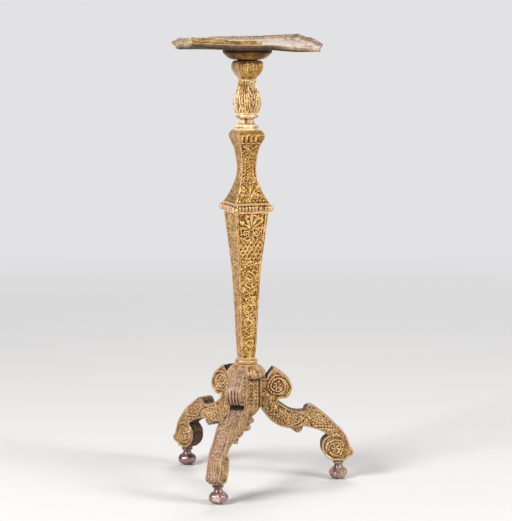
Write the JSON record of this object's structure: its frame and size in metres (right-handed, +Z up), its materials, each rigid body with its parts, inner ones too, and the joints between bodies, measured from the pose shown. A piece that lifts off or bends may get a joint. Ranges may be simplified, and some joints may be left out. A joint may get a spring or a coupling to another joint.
{
  "type": "candle stand",
  "caption": "Carved and gilded wooden torchere candle stand: square dished top, leafy baluster, square tapered shaft and scrolled tripod legs on ball feet.",
  "frame": {"origin": "on the floor, on the axis of the stem", "axes": "+Z up the stem; the front leg points along -Y"},
  "size_m": [0.4264, 0.4152, 0.9542],
  "materials": {
    "gilding": "worn water gilding over gesso on carved wood, satin",
    "dark_gilding": "dull bronzed gilding on wood, satin",
    "gesso": "rubbed gesso and remains of gilding on wood, matt",
    "copper_paint": "worn copper-brown lacquer on turned wood, semi-gloss",
    "bare_wood": "bare oak",
    "iron": "dark iron"
  },
  "bodies": {
    "root": {"top_board": "gesso", "rim_front": "gilding", "rim_right": "gesso", "rim_back": "gilding", "rim_left": "gilding", "top_disc": "dark_gilding", "top_screws": "iron", "capital": "gilding", "baluster": "gilding", "waisted_block": "gilding", "knop_moulding": "gilding", "knop_corner_beads": "gilding", "tapered_shaft": "gilding", "shaft_ring": "gilding", "hub_dome": "gilding", "hub_body": "gilding", "hub_pendant": "dark_gilding", "leg_front": "gilding", "leg_right": "gilding", "leg_left": "gilding", "leg_scroll_front": "dark_gilding", "leg_scroll_right": "dark_gilding", "leg_scroll_left": "dark_gilding", "leg_bracket_front": "dark_gilding", "leg_bracket_right": "dark_gilding", "leg_bracket_left": "dark_gilding", "leg_pegs": "bare_wood", "foot_front": "copper_paint", "foot_right": "copper_paint", "foot_left": "copper_paint"}
  },
  "joints": []
}
